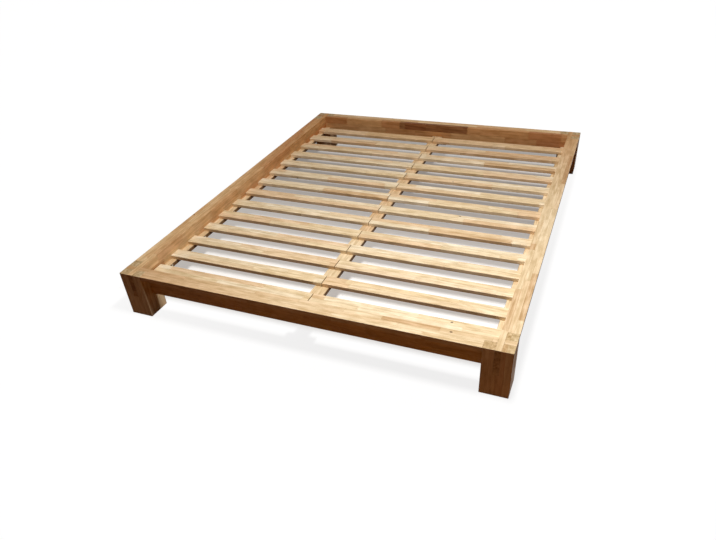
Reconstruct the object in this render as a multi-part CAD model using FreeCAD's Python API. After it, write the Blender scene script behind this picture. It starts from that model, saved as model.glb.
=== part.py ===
import FreeCAD, Part
import os

# A low double platform bed of oiled hardwood. Four square legs are cut with a cross-shaped slot.
# Four upright boards drop into the slots and lap over each other inside the legs, and a flat strip
# glued to the outer face of each board fills the frame's top edge out to the legs' faces.
# Two columns of slats lie inside the frame on a ledger at each side and a flat beam in the middle.
#
# X runs across the bed from left to right, Y from the front end to the back end and Z up.
# The origin is on the floor, under the middle of the bed.

# Driving dimensions, in millimetres
mattress_width = 1600
mattress_length = 2000
mattress_play = 5
frame_height = 220
mattress_sink = 55

board_thickness = 23
board_height = 116
strip_width = 44.5
strip_thickness = 20
slot_play = 0.3

slat_rows = 14
slat_width = 62
slat_thickness = 18
slat_pitch = 140
slat_end_gap = 1.0
slat_middle_gap = 4.0

ledger_width = 31
bearer_thickness = 20
beam_width = 66
cleat_length = 130

free_edge_ease = 1.5
joint_edge_ease = 0.6
leg_corner_radius = 3
leg_foot_ease = 2
slat_edge_radius = 2.5

# A screw size is its length, the radius of its shank and the radius of its countersunk head.
small_screw = (30, 2.0, 4.0)
large_screw = (45, 2.5, 5.0)
screw_tip_length = 5
screw_hole_play = 0.1
head_recess_depth = 1.5
head_recess_width = 1.0
head_recess_share = 0.6
cleat_screw_offset = 40

# How far a cutting shape runs on past the face that it opens
cutter_margin = 1

# Places that follow from the driving dimensions
rim_width = strip_width + board_thickness
leg_size = rim_width + strip_width
half_width = (mattress_width + mattress_play) / 2 + rim_width
half_length = (mattress_length + mattress_play) / 2 + rim_width
inside_x = half_width - rim_width
inside_y = half_length - rim_width
board_bottom = frame_height - board_height
lap_height = board_bottom + board_height / 2
strip_bottom = frame_height - strip_thickness
slat_top = frame_height - mattress_sink
slat_bottom = slat_top - slat_thickness
bearer_bottom = slat_bottom - bearer_thickness
cleat_bottom = bearer_bottom - bearer_thickness
first_slat_y = -((slat_rows - 1) * slat_pitch + slat_width) / 2
slat_starts = [first_slat_y + row * slat_pitch for row in range(slat_rows)]
gap_middles = [start + (slat_width + slat_pitch) / 2 for start in slat_starts[:-1]]

sides = {"left": -1, "right": 1}
ends = {"front": -1, "back": 1}
up = FreeCAD.Vector(0, 0, 1)


def box(x_ends, y_ends, z_ends):
    """A box between two places on each axis, given in either order."""
    low = FreeCAD.Vector(min(x_ends), min(y_ends), min(z_ends))
    high = FreeCAD.Vector(max(x_ends), max(y_ends), max(z_ends))
    size = high - low
    return Part.makeBox(size.x, size.y, size.z, low)


def corner_box(side, end, across, along, z_ends):
    """A box at one corner of the bed, measured inwards from the side face and the end face."""
    x_ends = [side * (half_width - distance) for distance in across]
    y_ends = [end * (half_length - distance) for distance in along]
    return box(x_ends, y_ends, z_ends)


def edges_at(shape, x=None, y=None, z=None):
    """The edges that lie wholly at each of the places given."""
    tolerance = 1e-4
    found = []
    for edge in shape.Edges:
        bounds = edge.BoundBox
        spans = ((x, bounds.XMin, bounds.XMax), (y, bounds.YMin, bounds.YMax), (z, bounds.ZMin, bounds.ZMax))
        asked = [(place, low, high) for place, low, high in spans if place is not None]
        if all(abs(low - place) < tolerance and abs(high - place) < tolerance for place, low, high in asked):
            found.append(edge)
    return found


def make_leg(side, end):
    """A square leg with a cross slot for the two boards.

    Its inner quarter is cut down to the ledgers' underside, so that the mattress fits the corner
    and the ledger's end rests on the leg.
    """
    whole = (0, leg_size)
    slot = (strip_width - slot_play, rim_width + slot_play)
    inner = (rim_width, leg_size + cutter_margin)
    above_leg = frame_height + cutter_margin
    upper = (board_bottom, above_leg)
    leg = corner_box(side, end, whole, whole, (0, frame_height))
    upright = [edge for edge in leg.Edges if edge.BoundBox.ZLength > leg_size]
    leg = leg.makeFillet(leg_corner_radius, upright)
    leg = leg.makeChamfer(leg_foot_ease, edges_at(leg, z=0))
    leg = leg.cut(corner_box(side, end, slot, whole, upper))
    leg = leg.cut(corner_box(side, end, whole, slot, upper))
    leg = leg.cut(corner_box(side, end, inner, inner, (bearer_bottom, above_leg)))
    return leg.makeChamfer(joint_edge_ease, edges_at(leg, z=frame_height))


def ease_board(board, axis, faces):
    """Break the four long edges of an upright board whose two faces cross an axis at the places given."""
    for edge_height, ease in ((frame_height, joint_edge_ease), (board_bottom, free_edge_ease)):
        for face in faces:
            board = board.makeChamfer(ease, edges_at(board, **{axis: face, "z": edge_height}))
    return board


def make_side_board(side):
    """An upright board along the bed, notched from below where it laps over the end boards."""
    x_ends = [side * inside_x, side * (inside_x + board_thickness)]
    board = box(x_ends, (-half_length, half_length), (board_bottom, frame_height))
    board = ease_board(board, "x", x_ends)
    for end in ends.values():
        y_ends = (end * (inside_y - slot_play), end * (inside_y + board_thickness + slot_play))
        board = board.cut(box(x_ends, y_ends, (board_bottom - cutter_margin, lap_height)))
    return board


def make_end_board(end):
    """An upright board across the bed, notched from above where the side boards lap over it."""
    y_ends = [end * inside_y, end * (inside_y + board_thickness)]
    board = box((-half_width, half_width), y_ends, (board_bottom, frame_height))
    board = ease_board(board, "y", y_ends)
    for side in sides.values():
        x_ends = (side * (inside_x - slot_play), side * (inside_x + board_thickness + slot_play))
        board = board.cut(box(x_ends, y_ends, (lap_height, frame_height + cutter_margin)))
    return board


def make_side_strip(side):
    """The flat strip outside a side board, flush with the top and the outer faces of the legs."""
    reach = half_length - leg_size - slot_play
    outer_x = side * half_width
    strip = box((outer_x, outer_x - side * strip_width), (-reach, reach), (strip_bottom, frame_height))
    strip = strip.makeChamfer(joint_edge_ease, edges_at(strip, z=frame_height))
    return strip.makeChamfer(free_edge_ease, edges_at(strip, x=outer_x, z=strip_bottom))


def make_end_strip(end):
    """The flat strip outside an end board, flush with the top and the outer faces of the legs."""
    reach = half_width - leg_size - slot_play
    outer_y = end * half_length
    strip = box((-reach, reach), (outer_y, outer_y - end * strip_width), (strip_bottom, frame_height))
    strip = strip.makeChamfer(joint_edge_ease, edges_at(strip, z=frame_height))
    return strip.makeChamfer(free_edge_ease, edges_at(strip, y=outer_y, z=strip_bottom))


def make_ledger(side):
    """The flat batten along the inside of a side board that carries the slats' outer ends."""
    inner_x = side * (inside_x - ledger_width)
    ledger = box((side * inside_x, inner_x), (-inside_y, inside_y), (bearer_bottom, slat_bottom))
    long_edges = edges_at(ledger, x=inner_x, z=bearer_bottom) + edges_at(ledger, x=inner_x, z=slat_bottom)
    return ledger.makeChamfer(free_edge_ease, long_edges)


def make_beam():
    """The flat middle beam that carries the slats' inner ends."""
    x_ends = (-beam_width / 2, beam_width / 2)
    beam = box(x_ends, (-inside_y, inside_y), (bearer_bottom, slat_bottom))
    long_edges = [edge for edge in beam.Edges if edge.BoundBox.YLength > inside_y]
    return beam.makeChamfer(free_edge_ease, long_edges)


def make_cleat(end):
    """The short block on an end board that the beam's end rests on."""
    inner_y = end * (inside_y - ledger_width)
    x_ends = (-cleat_length / 2, cleat_length / 2)
    cleat = box(x_ends, (end * inside_y, inner_y), (cleat_bottom, bearer_bottom))
    return cleat.makeChamfer(free_edge_ease, edges_at(cleat, y=inner_y))


def make_slat(side, start):
    """One slat, from a side board to the middle of the beam, with its long edges rounded."""
    x_ends = (side * (inside_x - slat_end_gap), side * slat_middle_gap / 2)
    slat = box(x_ends, (start, start + slat_width), (slat_bottom, slat_top))
    long_edges = [edge for edge in slat.Edges if edge.BoundBox.XLength > slat_width]
    return slat.makeFillet(slat_edge_radius, long_edges)


def turned_screw(size, play):
    """A countersunk wood screw without its drive, point along +Z and its head's face at the origin."""
    length, shank_radius, head_radius = size
    head_depth = head_radius - shank_radius
    outline = [
        FreeCAD.Vector(0, 0, 0),
        FreeCAD.Vector(head_radius + play, 0, 0),
        FreeCAD.Vector(shank_radius + play, 0, head_depth),
        FreeCAD.Vector(shank_radius + play, 0, length - screw_tip_length),
        FreeCAD.Vector(0, 0, length + play),
    ]
    face = Part.Face(Part.makePolygon(outline + outline[:1]))
    return face.revolve(FreeCAD.Vector(0, 0, 0), up, 360)


def cut_drive(screw, size):
    """Sink a cross into the head for the driver's blade."""
    reach = size[2] * head_recess_share
    half_blade = head_recess_width / 2
    depth = (-cutter_margin, head_recess_depth)
    screw = screw.cut(box((-reach, reach), (-half_blade, half_blade), depth))
    return screw.cut(box((-half_blade, half_blade), (-reach, reach), depth))


def placed(shape, place, direction):
    """A copy of a screw or its hole, with its head at a place and its point in a direction."""
    copy = shape.copy()
    copy.Placement = FreeCAD.Placement(place, FreeCAD.Rotation(up, direction))
    return copy


def screw_places():
    """Each group of screws: its name, its size and where every screw's head sits and points."""
    slat_middles = [start + slat_width / 2 for start in slat_starts]
    groups = []
    for name, side in sides.items():
        ledger_middle = side * (inside_x - ledger_width / 2)
        rising = [(FreeCAD.Vector(ledger_middle, y, bearer_bottom), up) for y in slat_middles]
        groups.append((f"slat_screws_{name}", small_screw, rising))
        head_x = side * (inside_x - ledger_width)
        middle_z = (bearer_bottom + slat_bottom) / 2
        outward = FreeCAD.Vector(side, 0, 0)
        level = [(FreeCAD.Vector(head_x, y, middle_z), outward) for y in gap_middles[::2]]
        groups.append((f"ledger_screws_{name}", large_screw, level))
    beam_rising = []
    beam_falling = []
    cleat_level = []
    for side in sides.values():
        quarter = side * beam_width / 4
        beam_rising += [(FreeCAD.Vector(quarter, y, bearer_bottom), up) for y in slat_middles]
        for end in ends.values():
            cleat_middle = end * (inside_y - ledger_width / 2)
            beam_falling.append((FreeCAD.Vector(quarter, cleat_middle, slat_bottom), -up))
            head = FreeCAD.Vector(
                side * cleat_screw_offset,
                end * (inside_y - ledger_width),
                (cleat_bottom + bearer_bottom) / 2,
            )
            cleat_level.append((head, FreeCAD.Vector(0, end, 0)))
    groups.append(("slat_screws_middle", small_screw, beam_rising))
    groups.append(("beam_screws", small_screw, beam_falling))
    groups.append(("cleat_screws", large_screw, cleat_level))
    return groups


# The wooden pieces
pieces = {"middle_beam": make_beam()}
for end_name, end in ends.items():
    pieces[f"{end_name}_board"] = make_end_board(end)
    pieces[f"{end_name}_edge_strip"] = make_end_strip(end)
    pieces[f"beam_cleat_{end_name}"] = make_cleat(end)
for side_name, side in sides.items():
    pieces[f"{side_name}_board"] = make_side_board(side)
    pieces[f"{side_name}_edge_strip"] = make_side_strip(side)
    pieces[f"{side_name}_ledger"] = make_ledger(side)
    for end_name, end in ends.items():
        pieces[f"leg_{end_name}_{side_name}"] = make_leg(side, end)
    for row, start in enumerate(slat_starts, 1):
        pieces[f"slat_{side_name}_{row:02d}"] = make_slat(side, start)

# The screws, and the holes that they need in the wood
screws = {}
holes = []
for group, size, places in screw_places():
    screw = cut_drive(turned_screw(size, 0), size)
    hole = turned_screw(size, screw_hole_play)
    screws[group] = Part.makeCompound([placed(screw, place, direction) for place, direction in places])
    holes += [placed(hole, place, direction) for place, direction in places]

for node, piece in pieces.items():
    pierced_by = [hole for hole in holes if hole.BoundBox.intersect(piece.BoundBox)]
    if pierced_by:
        pieces[node] = piece.cut(pierced_by)

os.makedirs("parts", exist_ok=True)
for node, shape in {**pieces, **screws}.items():
    shape.exportStep(f"parts/{node}.step")
    print(node, "solids", len(shape.Solids), "valid", shape.isValid(), "volume", round(shape.Volume))

bed = Part.makeCompound(list(pieces.values()) + list(screws.values()))
print("nodes", len(pieces) + len(screws))
print("low corner", bed.BoundBox.XMin, bed.BoundBox.YMin, bed.BoundBox.ZMin)
print("high corner", bed.BoundBox.XMax, bed.BoundBox.YMax, bed.BoundBox.ZMax)
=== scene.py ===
import math

import bpy
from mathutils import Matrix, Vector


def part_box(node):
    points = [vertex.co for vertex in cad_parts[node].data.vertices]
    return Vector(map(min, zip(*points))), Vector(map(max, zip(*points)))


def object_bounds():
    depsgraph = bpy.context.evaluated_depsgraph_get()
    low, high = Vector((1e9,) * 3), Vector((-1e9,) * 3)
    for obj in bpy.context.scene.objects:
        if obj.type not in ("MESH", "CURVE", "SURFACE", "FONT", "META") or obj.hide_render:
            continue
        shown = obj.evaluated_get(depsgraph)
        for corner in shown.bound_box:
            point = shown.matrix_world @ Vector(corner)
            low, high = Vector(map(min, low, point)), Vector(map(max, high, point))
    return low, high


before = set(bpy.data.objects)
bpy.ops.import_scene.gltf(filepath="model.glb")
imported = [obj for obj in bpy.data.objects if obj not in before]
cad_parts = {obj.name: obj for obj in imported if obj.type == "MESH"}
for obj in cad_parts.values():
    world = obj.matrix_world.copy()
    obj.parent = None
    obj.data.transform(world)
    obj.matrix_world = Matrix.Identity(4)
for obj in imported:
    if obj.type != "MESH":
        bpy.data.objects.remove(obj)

cad_corners = [list(corner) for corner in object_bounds()]

# ---------------------------------------------------------------------------------------------
# Legs. Four solid posts glued up from upright hardwood staves, 112 mm square, sawn from the top
# with a cross-shaped slot that the boards drop into. The wood is sanded, eased and oiled, and the
# tops show darker end grain because it drinks more oil.
# ---------------------------------------------------------------------------------------------


def add_node(tree, kind, sockets=None, **settings):
    """Add a node, set its properties, and fill its sockets with plain values or with links."""
    node = tree.nodes.new(kind)
    for name, value in settings.items():
        setattr(node, name, value)
    for key, value in (sockets or {}).items():
        if isinstance(value, bpy.types.NodeSocket):
            tree.links.new(value, node.inputs[key])
        else:
            node.inputs[key].default_value = value
    return node


def calc(tree, operation, *values, clamp=False):
    """The output of one Math node on up to three numbers or sockets."""
    sockets = dict(enumerate(values))
    return add_node(tree, "ShaderNodeMath", sockets, operation=operation, use_clamp=clamp).outputs[0]


def blend_colours(tree, share, first, second, blend_type="MIX"):
    """The first colour turned into the second by a share from 0 to 1."""
    sockets = {"Factor": share, 6: first, 7: second}
    node = add_node(tree, "ShaderNodeMix", sockets, data_type="RGBA", blend_type=blend_type)
    return node.outputs[2]


def ramp_between(tree, value, low, high):
    """0 where a value is at low or before it, 1 where it is at high or past it, smooth between."""
    sockets = {"Value": value, "From Min": low, "From Max": high}
    node = add_node(tree, "ShaderNodeMapRange", sockets, interpolation_type="SMOOTHSTEP")
    return node.outputs["Result"]


def stretch(tree, place, shift, along, across):
    """A place scaled by one number along the grain and by another across it, then shifted."""
    scaled = add_node(
        tree, "ShaderNodeVectorMath", {0: place, 1: (along, across, across)}, operation="MULTIPLY"
    )
    moved = add_node(tree, "ShaderNodeVectorMath", {0: scaled.outputs[0], 1: shift}, operation="ADD")
    return moved.outputs[0]


def noise(tree, place, detail):
    """The value of a Noise texture at a place that is already scaled."""
    sockets = {"Vector": place, "Scale": 1.0, "Detail": detail}
    return add_node(tree, "ShaderNodeTexNoise", sockets).outputs["Fac"]


def new_group(name, inputs, outputs):
    """An empty node group with named sockets. Returns its tree, its inputs and its outputs."""
    tree = bpy.data.node_groups.new(name, "ShaderNodeTree")
    kinds = {float: "NodeSocketFloat", tuple: "NodeSocketVector", list: "NodeSocketColor"}
    for title, value in inputs.items():
        socket = tree.interface.new_socket(title, in_out="INPUT", socket_type=kinds[type(value)])
        socket.default_value = value
    for title, kind in outputs.items():
        tree.interface.new_socket(title, in_out="OUTPUT", socket_type=kind)
    entry = tree.nodes.new("NodeGroupInput")
    leave = tree.nodes.new("NodeGroupOutput")
    return tree, entry.outputs, leave.inputs


def build_staves():
    """Glued-up wood: rows of blocks joined end to end with fingers.

    Place is along the grain, across the staves and through them, in metres. A stave's number is
    its row plus its layer. Each stave's blocks are the cells of a one-dimensional Voronoi pattern,
    slid by a random length, with a zigzag added for the fingers. Dice is three random numbers for
    each block, and Joint is 1 on the glue lines.
    """
    glue_line = 0.0006
    finger_pitch = 0.0042
    finger_length = 0.010
    inputs = {
        "Place": (0.0, 0.0, 0.0),
        "Stave Width": 0.04,
        "Stave Depth": 1.0,
        "Block Length": 0.3,
        "Seed": 0.0,
    }
    outputs = {"Dice": "NodeSocketVector", "Joint": "NodeSocketFloat"}
    tree, given, result = new_group("glued_staves", inputs, outputs)
    place = add_node(tree, "ShaderNodeSeparateXYZ", {0: given["Place"]}).outputs
    rows = calc(tree, "DIVIDE", place["Y"], given["Stave Width"])
    layers = calc(tree, "DIVIDE", place["Z"], given["Stave Depth"])
    row_number = calc(tree, "MULTIPLY_ADD", calc(tree, "FLOOR", rows), 7.31, given["Seed"])
    stave = calc(tree, "MULTIPLY_ADD", calc(tree, "FLOOR", layers), 3.17, row_number)
    slide = add_node(tree, "ShaderNodeTexWhiteNoise", {"W": stave}, noise_dimensions="1D")
    zigzag = calc(tree, "PINGPONG", place["Y"], finger_pitch / 2)
    fingers = calc(tree, "MULTIPLY_ADD", zigzag, 2 * finger_length / finger_pitch, place["X"])
    blocks = calc(tree, "DIVIDE", fingers, given["Block Length"])
    blocks = calc(tree, "MULTIPLY_ADD", slide.outputs["Value"], 50.0, blocks)
    sockets = {"W": blocks, "Scale": 1.0, "Randomness": 0.8}
    cell = add_node(tree, "ShaderNodeTexVoronoi", sockets, voronoi_dimensions="1D")
    edge = add_node(
        tree, "ShaderNodeTexVoronoi", sockets, voronoi_dimensions="1D", feature="DISTANCE_TO_EDGE"
    )
    identity = add_node(tree, "ShaderNodeCombineXYZ", {"X": cell.outputs["W"], "Y": stave})
    dice = add_node(
        tree, "ShaderNodeTexWhiteNoise", {"Vector": identity.outputs[0]}, noise_dimensions="2D"
    )
    tree.links.new(dice.outputs["Color"], result["Dice"])
    from_joint = calc(tree, "MULTIPLY", edge.outputs["Distance"], given["Block Length"])
    from_seam = calc(tree, "MULTIPLY", calc(tree, "PINGPONG", rows, 0.5), given["Stave Width"])
    nearest = calc(tree, "MINIMUM", from_joint, from_seam)
    tree.links.new(ramp_between(tree, nearest, glue_line, 0.0), result["Joint"])
    return tree


def build_grain():
    """The figure inside a block of hardwood, worked out through its whole thickness.

    Rings are shells around a pith line that lies at a random distance beside the block, bent by a
    slow noise. Streaks, fibres and flecks are noises drawn out along the grain, and Clouds is a
    slow change of tone. A pin knot is the middle of a cell of a stretched Voronoi pattern, in the
    few cells that a throw of the dice picks.
    """
    ring_spacing = 0.0034
    block_shift = 37.0
    cells_without_knot = 0.975
    inputs = {"Place": (0.0, 0.0, 0.0), "Dice": (0.0, 0.0, 0.0)}
    titles = ("Rings", "Streaks", "Fibres", "Flecks", "Clouds", "Knots")
    outputs = {title: "NodeSocketFloat" for title in titles}
    tree, given, result = new_group("hardwood_grain", inputs, outputs)
    sockets = {0: given["Dice"], "Scale": block_shift}
    shift = add_node(tree, "ShaderNodeVectorMath", sockets, operation="SCALE").outputs[0]
    place = add_node(tree, "ShaderNodeSeparateXYZ", {0: given["Place"]}).outputs
    dice = add_node(tree, "ShaderNodeSeparateXYZ", {0: given["Dice"]}).outputs

    across = calc(tree, "MULTIPLY_ADD", dice["X"], 0.09, calc(tree, "ADD", place["Y"], 0.01))
    through = calc(tree, "MULTIPLY_ADD", dice["Y"], 0.10, calc(tree, "SUBTRACT", place["Z"], 0.05))
    squares = calc(tree, "MULTIPLY", across, across)
    radius = calc(tree, "SQRT", calc(tree, "MULTIPLY_ADD", through, through, squares))
    bend = noise(tree, stretch(tree, given["Place"], shift, 2.2, 11.0), 2.0)
    radius = calc(tree, "MULTIPLY_ADD", bend, 0.035, radius)
    shell = calc(tree, "FRACT", calc(tree, "DIVIDE", radius, ring_spacing))
    tree.links.new(calc(tree, "POWER", shell, 2.5), result["Rings"])

    streaks = noise(tree, stretch(tree, given["Place"], shift, 8.0, 95.0), 4.0)
    tree.links.new(ramp_between(tree, streaks, 0.30, 0.72), result["Streaks"])
    fibres = noise(tree, stretch(tree, given["Place"], shift, 22.0, 900.0), 3.0)
    tree.links.new(fibres, result["Fibres"])
    flecks = noise(tree, stretch(tree, given["Place"], shift, 210.0, 1700.0), 1.0)
    tree.links.new(ramp_between(tree, flecks, 0.62, 0.72), result["Flecks"])
    clouds = noise(tree, stretch(tree, given["Place"], shift, 18.0, 40.0), 4.0)
    tree.links.new(ramp_between(tree, clouds, 0.28, 0.72), result["Clouds"])

    sockets = {"Vector": stretch(tree, given["Place"], shift, 14.0, 20.0), "Scale": 1.0}
    knots = add_node(tree, "ShaderNodeTexVoronoi", sockets)
    chance = add_node(tree, "ShaderNodeSeparateXYZ", {0: knots.outputs["Color"]}).outputs["X"]
    knot = ramp_between(tree, knots.outputs["Distance"], 0.11, 0.06)
    picked = calc(tree, "GREATER_THAN", chance, cells_without_knot)
    tree.links.new(calc(tree, "MULTIPLY", knot, picked), result["Knots"])
    return tree


def build_oiled_wood():
    """Colour, roughness and surface height of oiled hardwood.

    The block's first random number picks its tone between honey and pale, its second how rosy it
    is, and its third whether it is brown heartwood. Streaks, rings, fibres and flecks darken it,
    glue lines and knots are brown, and End is 1 on the end grain, which is darker. Two inputs are
    painted shade: one darkens and warms the wood by how far it lies from the main lamp, and one
    makes the bearers' side faces much darker. Contrast is how much the blocks differ.
    """
    # Painted shade: this tint darkens and warms the wood away from the main lamp.
    painted_falloff_tint = (0.83, 0.60, 0.40, 1.0)
    # Painted shade: this dark tint stands in for the shade on the bearers' side faces.
    painted_side_shade_tint = (0.30, 0.22, 0.15, 1.0)
    knot_colour = (0.06, 0.026, 0.011, 1.0)
    full_shade = 1.185
    inputs = {
        "Dice": (0.0, 0.0, 0.0),
        "Joint": 0.0,
        "Rings": 0.0,
        "Streaks": 0.5,
        "Fibres": 0.5,
        "Flecks": 0.0,
        "Clouds": 0.5,
        "Knots": 0.0,
        "End": 0.0,
        "Painted Falloff": 0.0,
        "Painted Side Shade": 0.0,
        "Brown Share": 0.1,
        "Contrast": 1.0,
        "Pale": [0.8, 0.6, 0.4, 1.0],
        "Honey": [0.7, 0.5, 0.3, 1.0],
        "Rosy": [0.7, 0.4, 0.3, 1.0],
        "Brown": [0.3, 0.15, 0.06, 1.0],
    }
    outputs = {
        "Colour": "NodeSocketColor",
        "Roughness": "NodeSocketFloat",
        "Height": "NodeSocketFloat",
    }
    tree, given, result = new_group("oiled_hardwood", inputs, outputs)
    dice = add_node(tree, "ShaderNodeSeparateXYZ", {0: given["Dice"]}).outputs
    tone = calc(tree, "MULTIPLY", calc(tree, "SUBTRACT", dice["X"], 0.5), given["Contrast"])
    tone = calc(tree, "ADD", tone, 0.5, clamp=True)
    colour = blend_colours(tree, tone, given["Honey"], given["Pale"])
    rosy = calc(tree, "MULTIPLY", ramp_between(tree, dice["Y"], 0.55, 1.0), given["Contrast"])
    colour = blend_colours(tree, rosy, colour, given["Rosy"])
    brown_from = calc(tree, "SUBTRACT", 1.0, given["Brown Share"])
    heart = calc(tree, "GREATER_THAN", dice["Z"], brown_from)
    heart_depth = calc(tree, "MULTIPLY_ADD", given["Streaks"], 0.35, 0.5)
    colour = blend_colours(tree, calc(tree, "MULTIPLY", heart, heart_depth), colour, given["Brown"])

    shade = calc(tree, "MULTIPLY_ADD", given["Streaks"], -0.24, full_shade)
    for mask, depth in (
        ("Clouds", -0.16),
        ("Rings", -0.07),
        ("Fibres", -0.13),
        ("Flecks", -0.14),
        ("Joint", -0.32),
        ("End", -0.24),
    ):
        shade = calc(tree, "MULTIPLY_ADD", given[mask], depth, shade)
    warm = calc(tree, "POWER", shade, 1.25)
    warmer = calc(tree, "POWER", shade, 1.75)
    tint = add_node(tree, "ShaderNodeCombineColor", {"Red": shade, "Green": warm, "Blue": warmer})
    colour = blend_colours(tree, 1.0, colour, tint.outputs[0], "MULTIPLY")
    # Painted shade: darker and warmer away from the main lamp.
    colour = blend_colours(tree, given["Painted Falloff"], colour, painted_falloff_tint, "MULTIPLY")
    # Painted shade: the bearers' side faces are made much darker.
    colour = blend_colours(tree, given["Painted Side Shade"], colour, painted_side_shade_tint, "MULTIPLY")
    knot = calc(tree, "MULTIPLY", given["Knots"], 0.8)
    colour = blend_colours(tree, knot, colour, knot_colour)
    tree.links.new(colour, result["Colour"])

    rough = calc(tree, "MULTIPLY_ADD", given["Fibres"], 0.16, 0.38)
    rough = calc(tree, "MULTIPLY_ADD", given["End"], 0.14, rough)
    tree.links.new(calc(tree, "MULTIPLY_ADD", given["Joint"], 0.15, rough), result["Roughness"])
    height = calc(tree, "MULTIPLY_ADD", given["Rings"], 0.35, given["Fibres"])
    height = calc(tree, "MULTIPLY_ADD", given["Flecks"], -0.6, height)
    tree.links.new(calc(tree, "MULTIPLY_ADD", given["Joint"], -0.8, height), result["Height"])
    return tree


def paint(red, green, blue):
    """A linear colour from the 0 to 255 numbers that a screen shows."""
    linear = []
    for value in (red, green, blue):
        share = value / 255
        linear.append(share / 12.92 if share < 0.04045 else ((share + 0.055) / 1.055) ** 2.4)
    return (*linear, 1.0)


staves_group = build_staves()
grain_group = build_grain()
oiled_group = build_oiled_wood()
edge_margin = 0.0005
pore_depth = 0.0003
oil_gloss = 0.04


def hardwood(
    name,
    along,
    across,
    through,
    stave,
    block_length,
    seed,
    look,
    twins="",
    repeat=None,
    painted_falloff=None,
    painted_side_shade="",
):
    """An oiled hardwood material for pieces whose grain runs along one axis of the bed.

    across and through are each an axis and the place that the staves are counted from: an axis in
    capitals is counted inwards from that place on both sides of the bed. stave is a stave's width
    and depth. look gives the four colours, the share of brown blocks and the contrast. twins names
    the axes on whose two sides like pieces lie, so that their blocks differ. repeat is the first
    place and the pitch of a row of like pieces. The argument after repeat is an axis and the two
    places on it between which a painted shade darkens and warms the wood, away from the main lamp,
    and the last one is the axis that the faces given a much darker painted shade look along.
    """
    material = bpy.data.materials.new(name)
    material.use_nodes = True
    tree = material.node_tree
    shader = tree.nodes["Principled BSDF"]
    coordinates = add_node(tree, "ShaderNodeTexCoord")
    place = add_node(tree, "ShaderNodeSeparateXYZ", {0: coordinates.outputs["Object"]}).outputs
    normal = add_node(tree, "ShaderNodeSeparateXYZ", {0: coordinates.outputs["Normal"]}).outputs

    def from_edge(axis, edge):
        """How far a point is from the place that staves are counted from."""
        if axis in "XYZ":
            return calc(tree, "SUBTRACT", edge, calc(tree, "ABSOLUTE", place[axis]))
        return calc(tree, "SUBTRACT", place[axis.upper()], edge)

    number = seed
    for axis, step in zip(twins, (3.9, 2.3)):
        number = calc(tree, "MULTIPLY_ADD", calc(tree, "SIGN", place[axis]), step, number)
    if repeat:
        counted = calc(tree, "DIVIDE", calc(tree, "SUBTRACT", place["Y"], repeat[0]), repeat[1])
        sideways = calc(tree, "MULTIPLY", calc(tree, "FRACT", counted), repeat[1])
        number = calc(tree, "MULTIPLY_ADD", calc(tree, "FLOOR", counted), 5.3, number)
    else:
        sideways = from_edge(*across)
    sockets = {"X": place[along], "Y": sideways, "Z": from_edge(*through)}
    grain_place = add_node(tree, "ShaderNodeCombineXYZ", sockets).outputs[0]
    sockets = {
        "Place": grain_place,
        "Stave Width": stave[0],
        "Stave Depth": stave[1],
        "Block Length": block_length,
        "Seed": number,
    }
    staves = add_node(tree, "ShaderNodeGroup", sockets, node_tree=staves_group).outputs
    sockets = {"Place": grain_place, "Dice": staves["Dice"]}
    grain = add_node(tree, "ShaderNodeGroup", sockets, node_tree=grain_group).outputs
    sockets = {"Dice": staves["Dice"], "Joint": staves["Joint"]}
    for mask in ("Rings", "Streaks", "Fibres", "Flecks", "Clouds", "Knots"):
        sockets[mask] = grain[mask]
    facing = (0.6, 0.8)
    sockets["End"] = ramp_between(tree, calc(tree, "ABSOLUTE", normal[along]), *facing)
    # Painted shade: faces looking along this axis are made much darker.
    if painted_side_shade:
        sockets["Painted Side Shade"] = ramp_between(tree, calc(tree, "ABSOLUTE", normal[painted_side_shade]), *facing)
    # Painted shade: the wood darkens and warms between two places, away from the main lamp.
    if painted_falloff:
        sockets["Painted Falloff"] = ramp_between(tree, place[painted_falloff[0]], *painted_falloff[1:])
    sockets.update(look)
    wood = add_node(tree, "ShaderNodeGroup", sockets, node_tree=oiled_group).outputs
    sockets = {"Strength": 0.35, "Distance": pore_depth, "Height": wood["Height"]}
    bump = add_node(tree, "ShaderNodeBump", sockets)
    shader.inputs["Specular IOR Level"].default_value = oil_gloss
    tree.links.new(wood["Colour"], shader.inputs["Base Color"])
    tree.links.new(wood["Roughness"], shader.inputs["Roughness"])
    tree.links.new(bump.outputs["Normal"], shader.inputs["Normal"])
    return material


def give_finish(names, material):
    """Put a material on CAD pieces in place of the plain one that they come with."""
    for name in names:
        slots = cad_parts[name].data.materials
        slots.clear()
        slots.append(material)


half_width, half_length, frame_top = cad_corners[1]
across_side = ("X", half_width + edge_margin)
across_end = ("Y", half_length + edge_margin)
down_from_top = ("Z", frame_top + edge_margin)
leg_stave = (0.02825, 0.0565)
leg_block = 1.7
leg_look = {
    "Pale": paint(237, 218, 184),
    "Honey": paint(226, 198, 156),
    "Rosy": paint(226, 192, 152),
    "Brown": paint(184, 138, 94),
    "Brown Share": 0.04,
    "Contrast": 0.7,
}
leg_wood = hardwood(
    "leg_wood", "Z", across_side, across_end, leg_stave, leg_block, 3.0, leg_look, twins="XY"
)
give_finish([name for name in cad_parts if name.startswith("leg_")], leg_wood)

# ---------------------------------------------------------------------------------------------
# Boards. Four upright boards, 23 x 116 mm, glued up from three rows of finger-jointed blocks.
# They drop into the legs' slots and lap over each other there, and their sawn ends show in the
# legs' outer faces. The front and right boards are paler than the left and back ones.
# ---------------------------------------------------------------------------------------------

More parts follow.
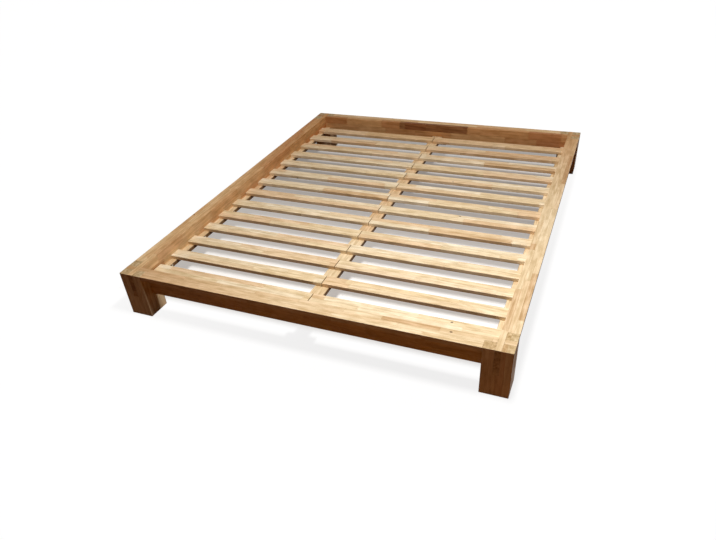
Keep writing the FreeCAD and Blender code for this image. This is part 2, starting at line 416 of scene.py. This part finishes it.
board_stave = (0.043, 1.0)
pale_look = {
    "Pale": paint(242, 222, 188),
    "Honey": paint(228, 201, 160),
    "Rosy": paint(228, 195, 155),
    "Brown": paint(204, 166, 122),
    "Brown Share": 0.05,
    "Contrast": 0.6,
}
tan_look = {
    "Pale": paint(238, 206, 160),
    "Honey": paint(222, 180, 130),
    "Rosy": paint(220, 172, 124),
    "Brown": paint(168, 114, 70),
    "Brown Share": 0.05,
    "Contrast": 1.0,
}
dark_look = {
    "Pale": paint(212, 164, 112),
    "Honey": paint(190, 134, 84),
    "Rosy": paint(186, 125, 80),
    "Brown": paint(106, 60, 28),
    "Brown Share": 0.13,
    "Contrast": 1.0,
}
board_looks = {
    "front_board": ("X", 11.0, pale_look),
    "back_board": ("X", 63.0, dark_look),
    "left_board": ("Y", 17.0, tan_look),
    "right_board": ("Y", 18.0, pale_look),
}
board_blocks = {"X": 0.20, "Y": 0.26}
outer_faces = {"X": across_end, "Y": across_side}
# Painted shade: each rail darkens and warms between these two places, away from the main lamp.
rail_painted_falloff = {"front": ("X", 0.5, -1.9), "left": ("Y", -0.9, 1.3), "right": ("Y", 0.0, 1.3)}
for board, (along, seed, look) in board_looks.items():
    board_wood = hardwood(
        f"{board}_wood",
        along,
        down_from_top,
        outer_faces[along],
        board_stave,
        board_blocks[along],
        seed,
        look,
        painted_falloff=rail_painted_falloff.get(board.split("_")[0]),
    )
    give_finish([board], board_wood)

# ---------------------------------------------------------------------------------------------
# Edge strips. A flat strip of the same finger-jointed wood is glued to the outer face of each
# board, flush with the frame's top, so that the rail looks as wide as the leg's outer quarter.
# ---------------------------------------------------------------------------------------------

strip_stave = (0.0225, 1.0)
strip_block = 0.32
strip_looks = {
    "front_edge_strip": ("X", 23.0, pale_look),
    "back_edge_strip": ("X", 24.0, tan_look),
    "left_edge_strip": ("Y", 29.0, tan_look),
    "right_edge_strip": ("Y", 30.0, pale_look),
}
for strip, (along, seed, look) in strip_looks.items():
    strip_wood = hardwood(
        f"{strip}_wood",
        along,
        outer_faces[along],
        down_from_top,
        strip_stave,
        strip_block,
        seed,
        look,
        painted_falloff=rail_painted_falloff.get(strip.split("_")[0]),
    )
    give_finish([strip], strip_wood)

# ---------------------------------------------------------------------------------------------
# Bearers. A ledger along each side board and a flat beam down the middle carry the slats, and a
# short cleat on each end board carries the beam's end. They are battens, and their side faces get a
# painted shade that makes them much darker.
# ---------------------------------------------------------------------------------------------

up_from_floor = ("z", 0.0)
bearer_stave = (0.2, 1.0)
bearer_look = {
    "Pale": paint(243, 222, 186),
    "Honey": paint(228, 199, 156),
    "Rosy": paint(228, 193, 152),
    "Brown": paint(190, 142, 98),
    "Brown Share": 0.04,
    "Contrast": 0.7,
}
left_of_beam = ("x", -0.1)
# The sixth item is the axis that the side faces with a painted shade look along.
bearers = {
    "ledger_wood": ("Y", across_side, 0.45, 37.0, "X", "X", ["left_ledger", "right_ledger"]),
    "beam_wood": ("Y", left_of_beam, 0.45, 39.0, "", "X", ["middle_beam"]),
    "cleat_wood": ("X", across_end, 0.6, 41.0, "Y", "Y", ["beam_cleat_front", "beam_cleat_back"]),
}
for name, (along, across, block_length, seed, twins, painted_side_shade, pieces) in bearers.items():
    bearer_wood = hardwood(
        name,
        along,
        across,
        up_from_floor,
        bearer_stave,
        block_length,
        seed,
        bearer_look,
        twins=twins,
        painted_side_shade=painted_side_shade,
    )
    give_finish(pieces, bearer_wood)

# ---------------------------------------------------------------------------------------------
# Slats. Twenty-eight planed slats, 62 x 18 mm with rounded edges, in two columns that meet over
# the middle beam. Each is finger-jointed from a few longer pieces and screwed from below.
# ---------------------------------------------------------------------------------------------

slat_names = [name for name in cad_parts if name.startswith(("slat_left_", "slat_right_"))]
first_slat_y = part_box("slat_left_01")[0][1]
slat_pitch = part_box("slat_left_02")[0][1] - first_slat_y
slat_stave = (0.0317, 1.0)
slat_block = 0.42
# Painted shade: the slats darken and warm towards the rear, away from the main lamp.
slat_painted_falloff = ("Y", 0.3, 1.6)
slat_look = {
    "Pale": paint(250, 234, 204),
    "Honey": paint(238, 213, 171),
    "Rosy": paint(238, 206, 166),
    "Brown": paint(216, 178, 134),
    "Brown Share": 0.04,
    "Contrast": 0.9,
}
slat_wood = hardwood(
    "slat_wood",
    "X",
    None,
    up_from_floor,
    slat_stave,
    slat_block,
    47.0,
    slat_look,
    twins="X",
    painted_falloff=slat_painted_falloff,
    repeat=(first_slat_y - edge_margin, slat_pitch),
)
give_finish(slat_names, slat_wood)

# ---------------------------------------------------------------------------------------------
# Screws. Countersunk steel screws with a yellowish zinc finish hold the ledgers, the cleats, the
# beam and the slats. Their heads are flush in the undersides and inner faces of the bearers.
# ---------------------------------------------------------------------------------------------

zinc = bpy.data.materials.new("zinc_plated_steel")
zinc.use_nodes = True
zinc_tree = zinc.node_tree
zinc_shader = zinc_tree.nodes["Principled BSDF"]
zinc_place = add_node(zinc_tree, "ShaderNodeTexCoord").outputs["Object"]
spangle = 900.0
zinc_place = stretch(zinc_tree, zinc_place, (0.0, 0.0, 0.0), spangle, spangle)
zinc_cloud = noise(zinc_tree, zinc_place, 4.0)
zinc_colour = blend_colours(zinc_tree, zinc_cloud, paint(196, 188, 160), paint(226, 222, 208))
zinc_rough = calc(zinc_tree, "MULTIPLY_ADD", zinc_cloud, 0.25, 0.22)
zinc_tree.links.new(zinc_colour, zinc_shader.inputs["Base Color"])
zinc_tree.links.new(zinc_rough, zinc_shader.inputs["Roughness"])
zinc_shader.inputs["Metallic"].default_value = 1.0
give_finish([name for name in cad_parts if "screws" in name], zinc)

# ---------------------------------------------------------------------------------------------
# The studio. A white floor runs into a white background, with a soft lamp above the front right of
# the slats, a weak one above the rear, and a faint orange light from the floor and all round. Under
# the slats the floor has a painted shade: a grey rectangle whose grey deepens to the rear.
# ---------------------------------------------------------------------------------------------


def seen_directly(tree):
    """1 for a ray from the camera, a mirror or glass, and 0 for a ray that gathers light."""
    rays = add_node(tree, "ShaderNodeLightPath").outputs
    indirect = calc(tree, "MAXIMUM", rays["Is Glossy Ray"], rays["Is Transmission Ray"])
    return calc(tree, "MAXIMUM", rays["Is Camera Ray"], indirect)


lamp_place = (0.68, -1.0, 2.75)
lamp_power = 78.0
lamp_size = (0.36, 0.6)
rear_lamp_place = (0.3, 1.5, 3.0)
rear_lamp_power = 15.0
rear_lamp_size = (1.2, 1.6)
lamp_reach = lamp_power * lamp_place[2] ** 2 / math.pi**2
white = (1.0, 1.0, 1.0, 1.0)
open_shade = 0.15
under_shade = 0.68
# Painted shade: under the slats the floor glows only this much, less again to the rear, with a warm
# tint.
under_glow_front = 0.46
under_glow_rear = 0.24
under_glow_fades = (-0.1, 0.6)
under_tint = (1.0, 0.98, 0.94, 1.0)
under_edge = (0.05, -0.05)
under_centre = (-0.13, 0.20, 0.0)
under_half = (0.92, 1.10)
floor_bounce_colour = (0.18, 0.062, 0.010, 1.0)
world_fill_colour = (0.042, 0.017, 0.004, 1.0)

far = 12.0
floor_mesh = bpy.data.meshes.new("studio_floor")
floor_corners = [(-far, -far, 0.0), (far, -far, 0.0), (far, far, 0.0), (-far, far, 0.0)]
floor_mesh.from_pydata(floor_corners, [], [(0, 1, 2, 3)])
studio_floor = bpy.data.objects.new("studio_floor", floor_mesh)
bpy.context.collection.objects.link(studio_floor)
floor_paint = bpy.data.materials.new("studio_floor_paint")
floor_paint.use_nodes = True
floor_tree = floor_paint.node_tree
floor_tree.nodes.remove(floor_tree.nodes["Principled BSDF"])
floor_place = add_node(floor_tree, "ShaderNodeTexCoord").outputs["Object"]
sockets = {0: floor_place, 1: lamp_place}
lamp_distance = add_node(floor_tree, "ShaderNodeVectorMath", sockets, operation="DISTANCE")
lamp_light = calc(floor_tree, "POWER", lamp_distance.outputs["Value"], -4.0)
lamp_light = calc(floor_tree, "MULTIPLY", lamp_light, lamp_reach)
# Painted shade: a rectangle under the slats where the floor's glow drops and its tint warms.
sockets = {0: floor_place, 1: under_centre}
from_centre = add_node(floor_tree, "ShaderNodeVectorMath", sockets, operation="SUBTRACT")
from_centre = add_node(floor_tree, "ShaderNodeSeparateXYZ", {0: from_centre.outputs[0]}).outputs
beyond = [
    calc(floor_tree, "SUBTRACT", calc(floor_tree, "ABSOLUTE", from_centre[axis]), half)
    for axis, half in zip("XY", under_half)
]
under = ramp_between(floor_tree, calc(floor_tree, "MAXIMUM", *beyond), *under_edge)
open_glow = calc(floor_tree, "MULTIPLY_ADD", lamp_light, -open_shade, 1.0)
floor_y = add_node(floor_tree, "ShaderNodeSeparateXYZ", {0: floor_place}).outputs["Y"]
rearwards = ramp_between(floor_tree, floor_y, *under_glow_fades)
glow_fall = under_glow_rear - under_glow_front
under_glow = calc(floor_tree, "MULTIPLY_ADD", rearwards, glow_fall, under_glow_front)
painted_shade_drop = calc(floor_tree, "MULTIPLY", calc(floor_tree, "SUBTRACT", under_glow, open_glow), under)
floor_glow = calc(floor_tree, "ADD", open_glow, painted_shade_drop)
floor_tone = calc(floor_tree, "MULTIPLY_ADD", under, under_shade - open_shade, open_shade)
floor_tint = blend_colours(floor_tree, under, white, under_tint)
floor_colour = blend_colours(floor_tree, 1.0, floor_tone, floor_tint, "MULTIPLY")
sockets = {"Color": floor_tint, "Strength": floor_glow}
floor_white = add_node(floor_tree, "ShaderNodeEmission", sockets)
floor_matt = add_node(floor_tree, "ShaderNodeBsdfDiffuse", {"Color": floor_colour})
sockets = {0: floor_white.outputs[0], 1: floor_matt.outputs[0]}
floor_shown = add_node(floor_tree, "ShaderNodeAddShader", sockets)
floor_bounce = add_node(floor_tree, "ShaderNodeBsdfDiffuse", {"Color": floor_bounce_colour})
floor_mix = add_node(floor_tree, "ShaderNodeMixShader", {"Fac": seen_directly(floor_tree)})
floor_tree.links.new(floor_bounce.outputs[0], floor_mix.inputs[1])
floor_tree.links.new(floor_shown.outputs[0], floor_mix.inputs[2])
floor_tree.links.new(floor_mix.outputs[0], floor_tree.nodes["Material Output"].inputs["Surface"])
floor_mesh.materials.append(floor_paint)

world = bpy.data.worlds.new("studio_world")
bpy.context.scene.world = world
world.use_nodes = True
world_tree = world.node_tree
world_background = world_tree.nodes["Background"]
world_colour = blend_colours(world_tree, seen_directly(world_tree), world_fill_colour, white)
world_tree.links.new(world_colour, world_background.inputs["Color"])
world_background.inputs["Strength"].default_value = 1.0

lamps = {
    "soft_lamp": (lamp_place, lamp_power, lamp_size),
    "rear_lamp": (rear_lamp_place, rear_lamp_power, rear_lamp_size),
}
for name, (place, power, size) in lamps.items():
    lamp_data = bpy.data.lights.new(name, "AREA")
    lamp_data.shape = "ELLIPSE"
    lamp_data.size, lamp_data.size_y = size
    lamp_data.energy = power
    lamp = bpy.data.objects.new(name, lamp_data)
    bpy.context.collection.objects.link(lamp)
    lamp.location = place

# ---------------------------------------------------------------------------------------------
# The camera. It stands before the bed's right end, above it, and looks down to the left.
# ---------------------------------------------------------------------------------------------

picture_width = 716
focal_length_pixels = 592.5
camera_data = bpy.data.cameras.new("camera")
camera_data.sensor_width = 36.0
camera_data.lens = focal_length_pixels / picture_width * camera_data.sensor_width
camera_data.shift_x = 8 / picture_width
camera_data.shift_y = 48 / picture_width
camera = bpy.data.objects.new("camera", camera_data)
bpy.context.collection.objects.link(camera)
camera.location = (1.0273, -2.6838, 1.6047)
camera.rotation_euler = [math.radians(angle) for angle in (52.429, 3.778, 22.747)]
bpy.context.scene.camera = camera
bpy.context.scene.view_settings.view_transform = "Standard"
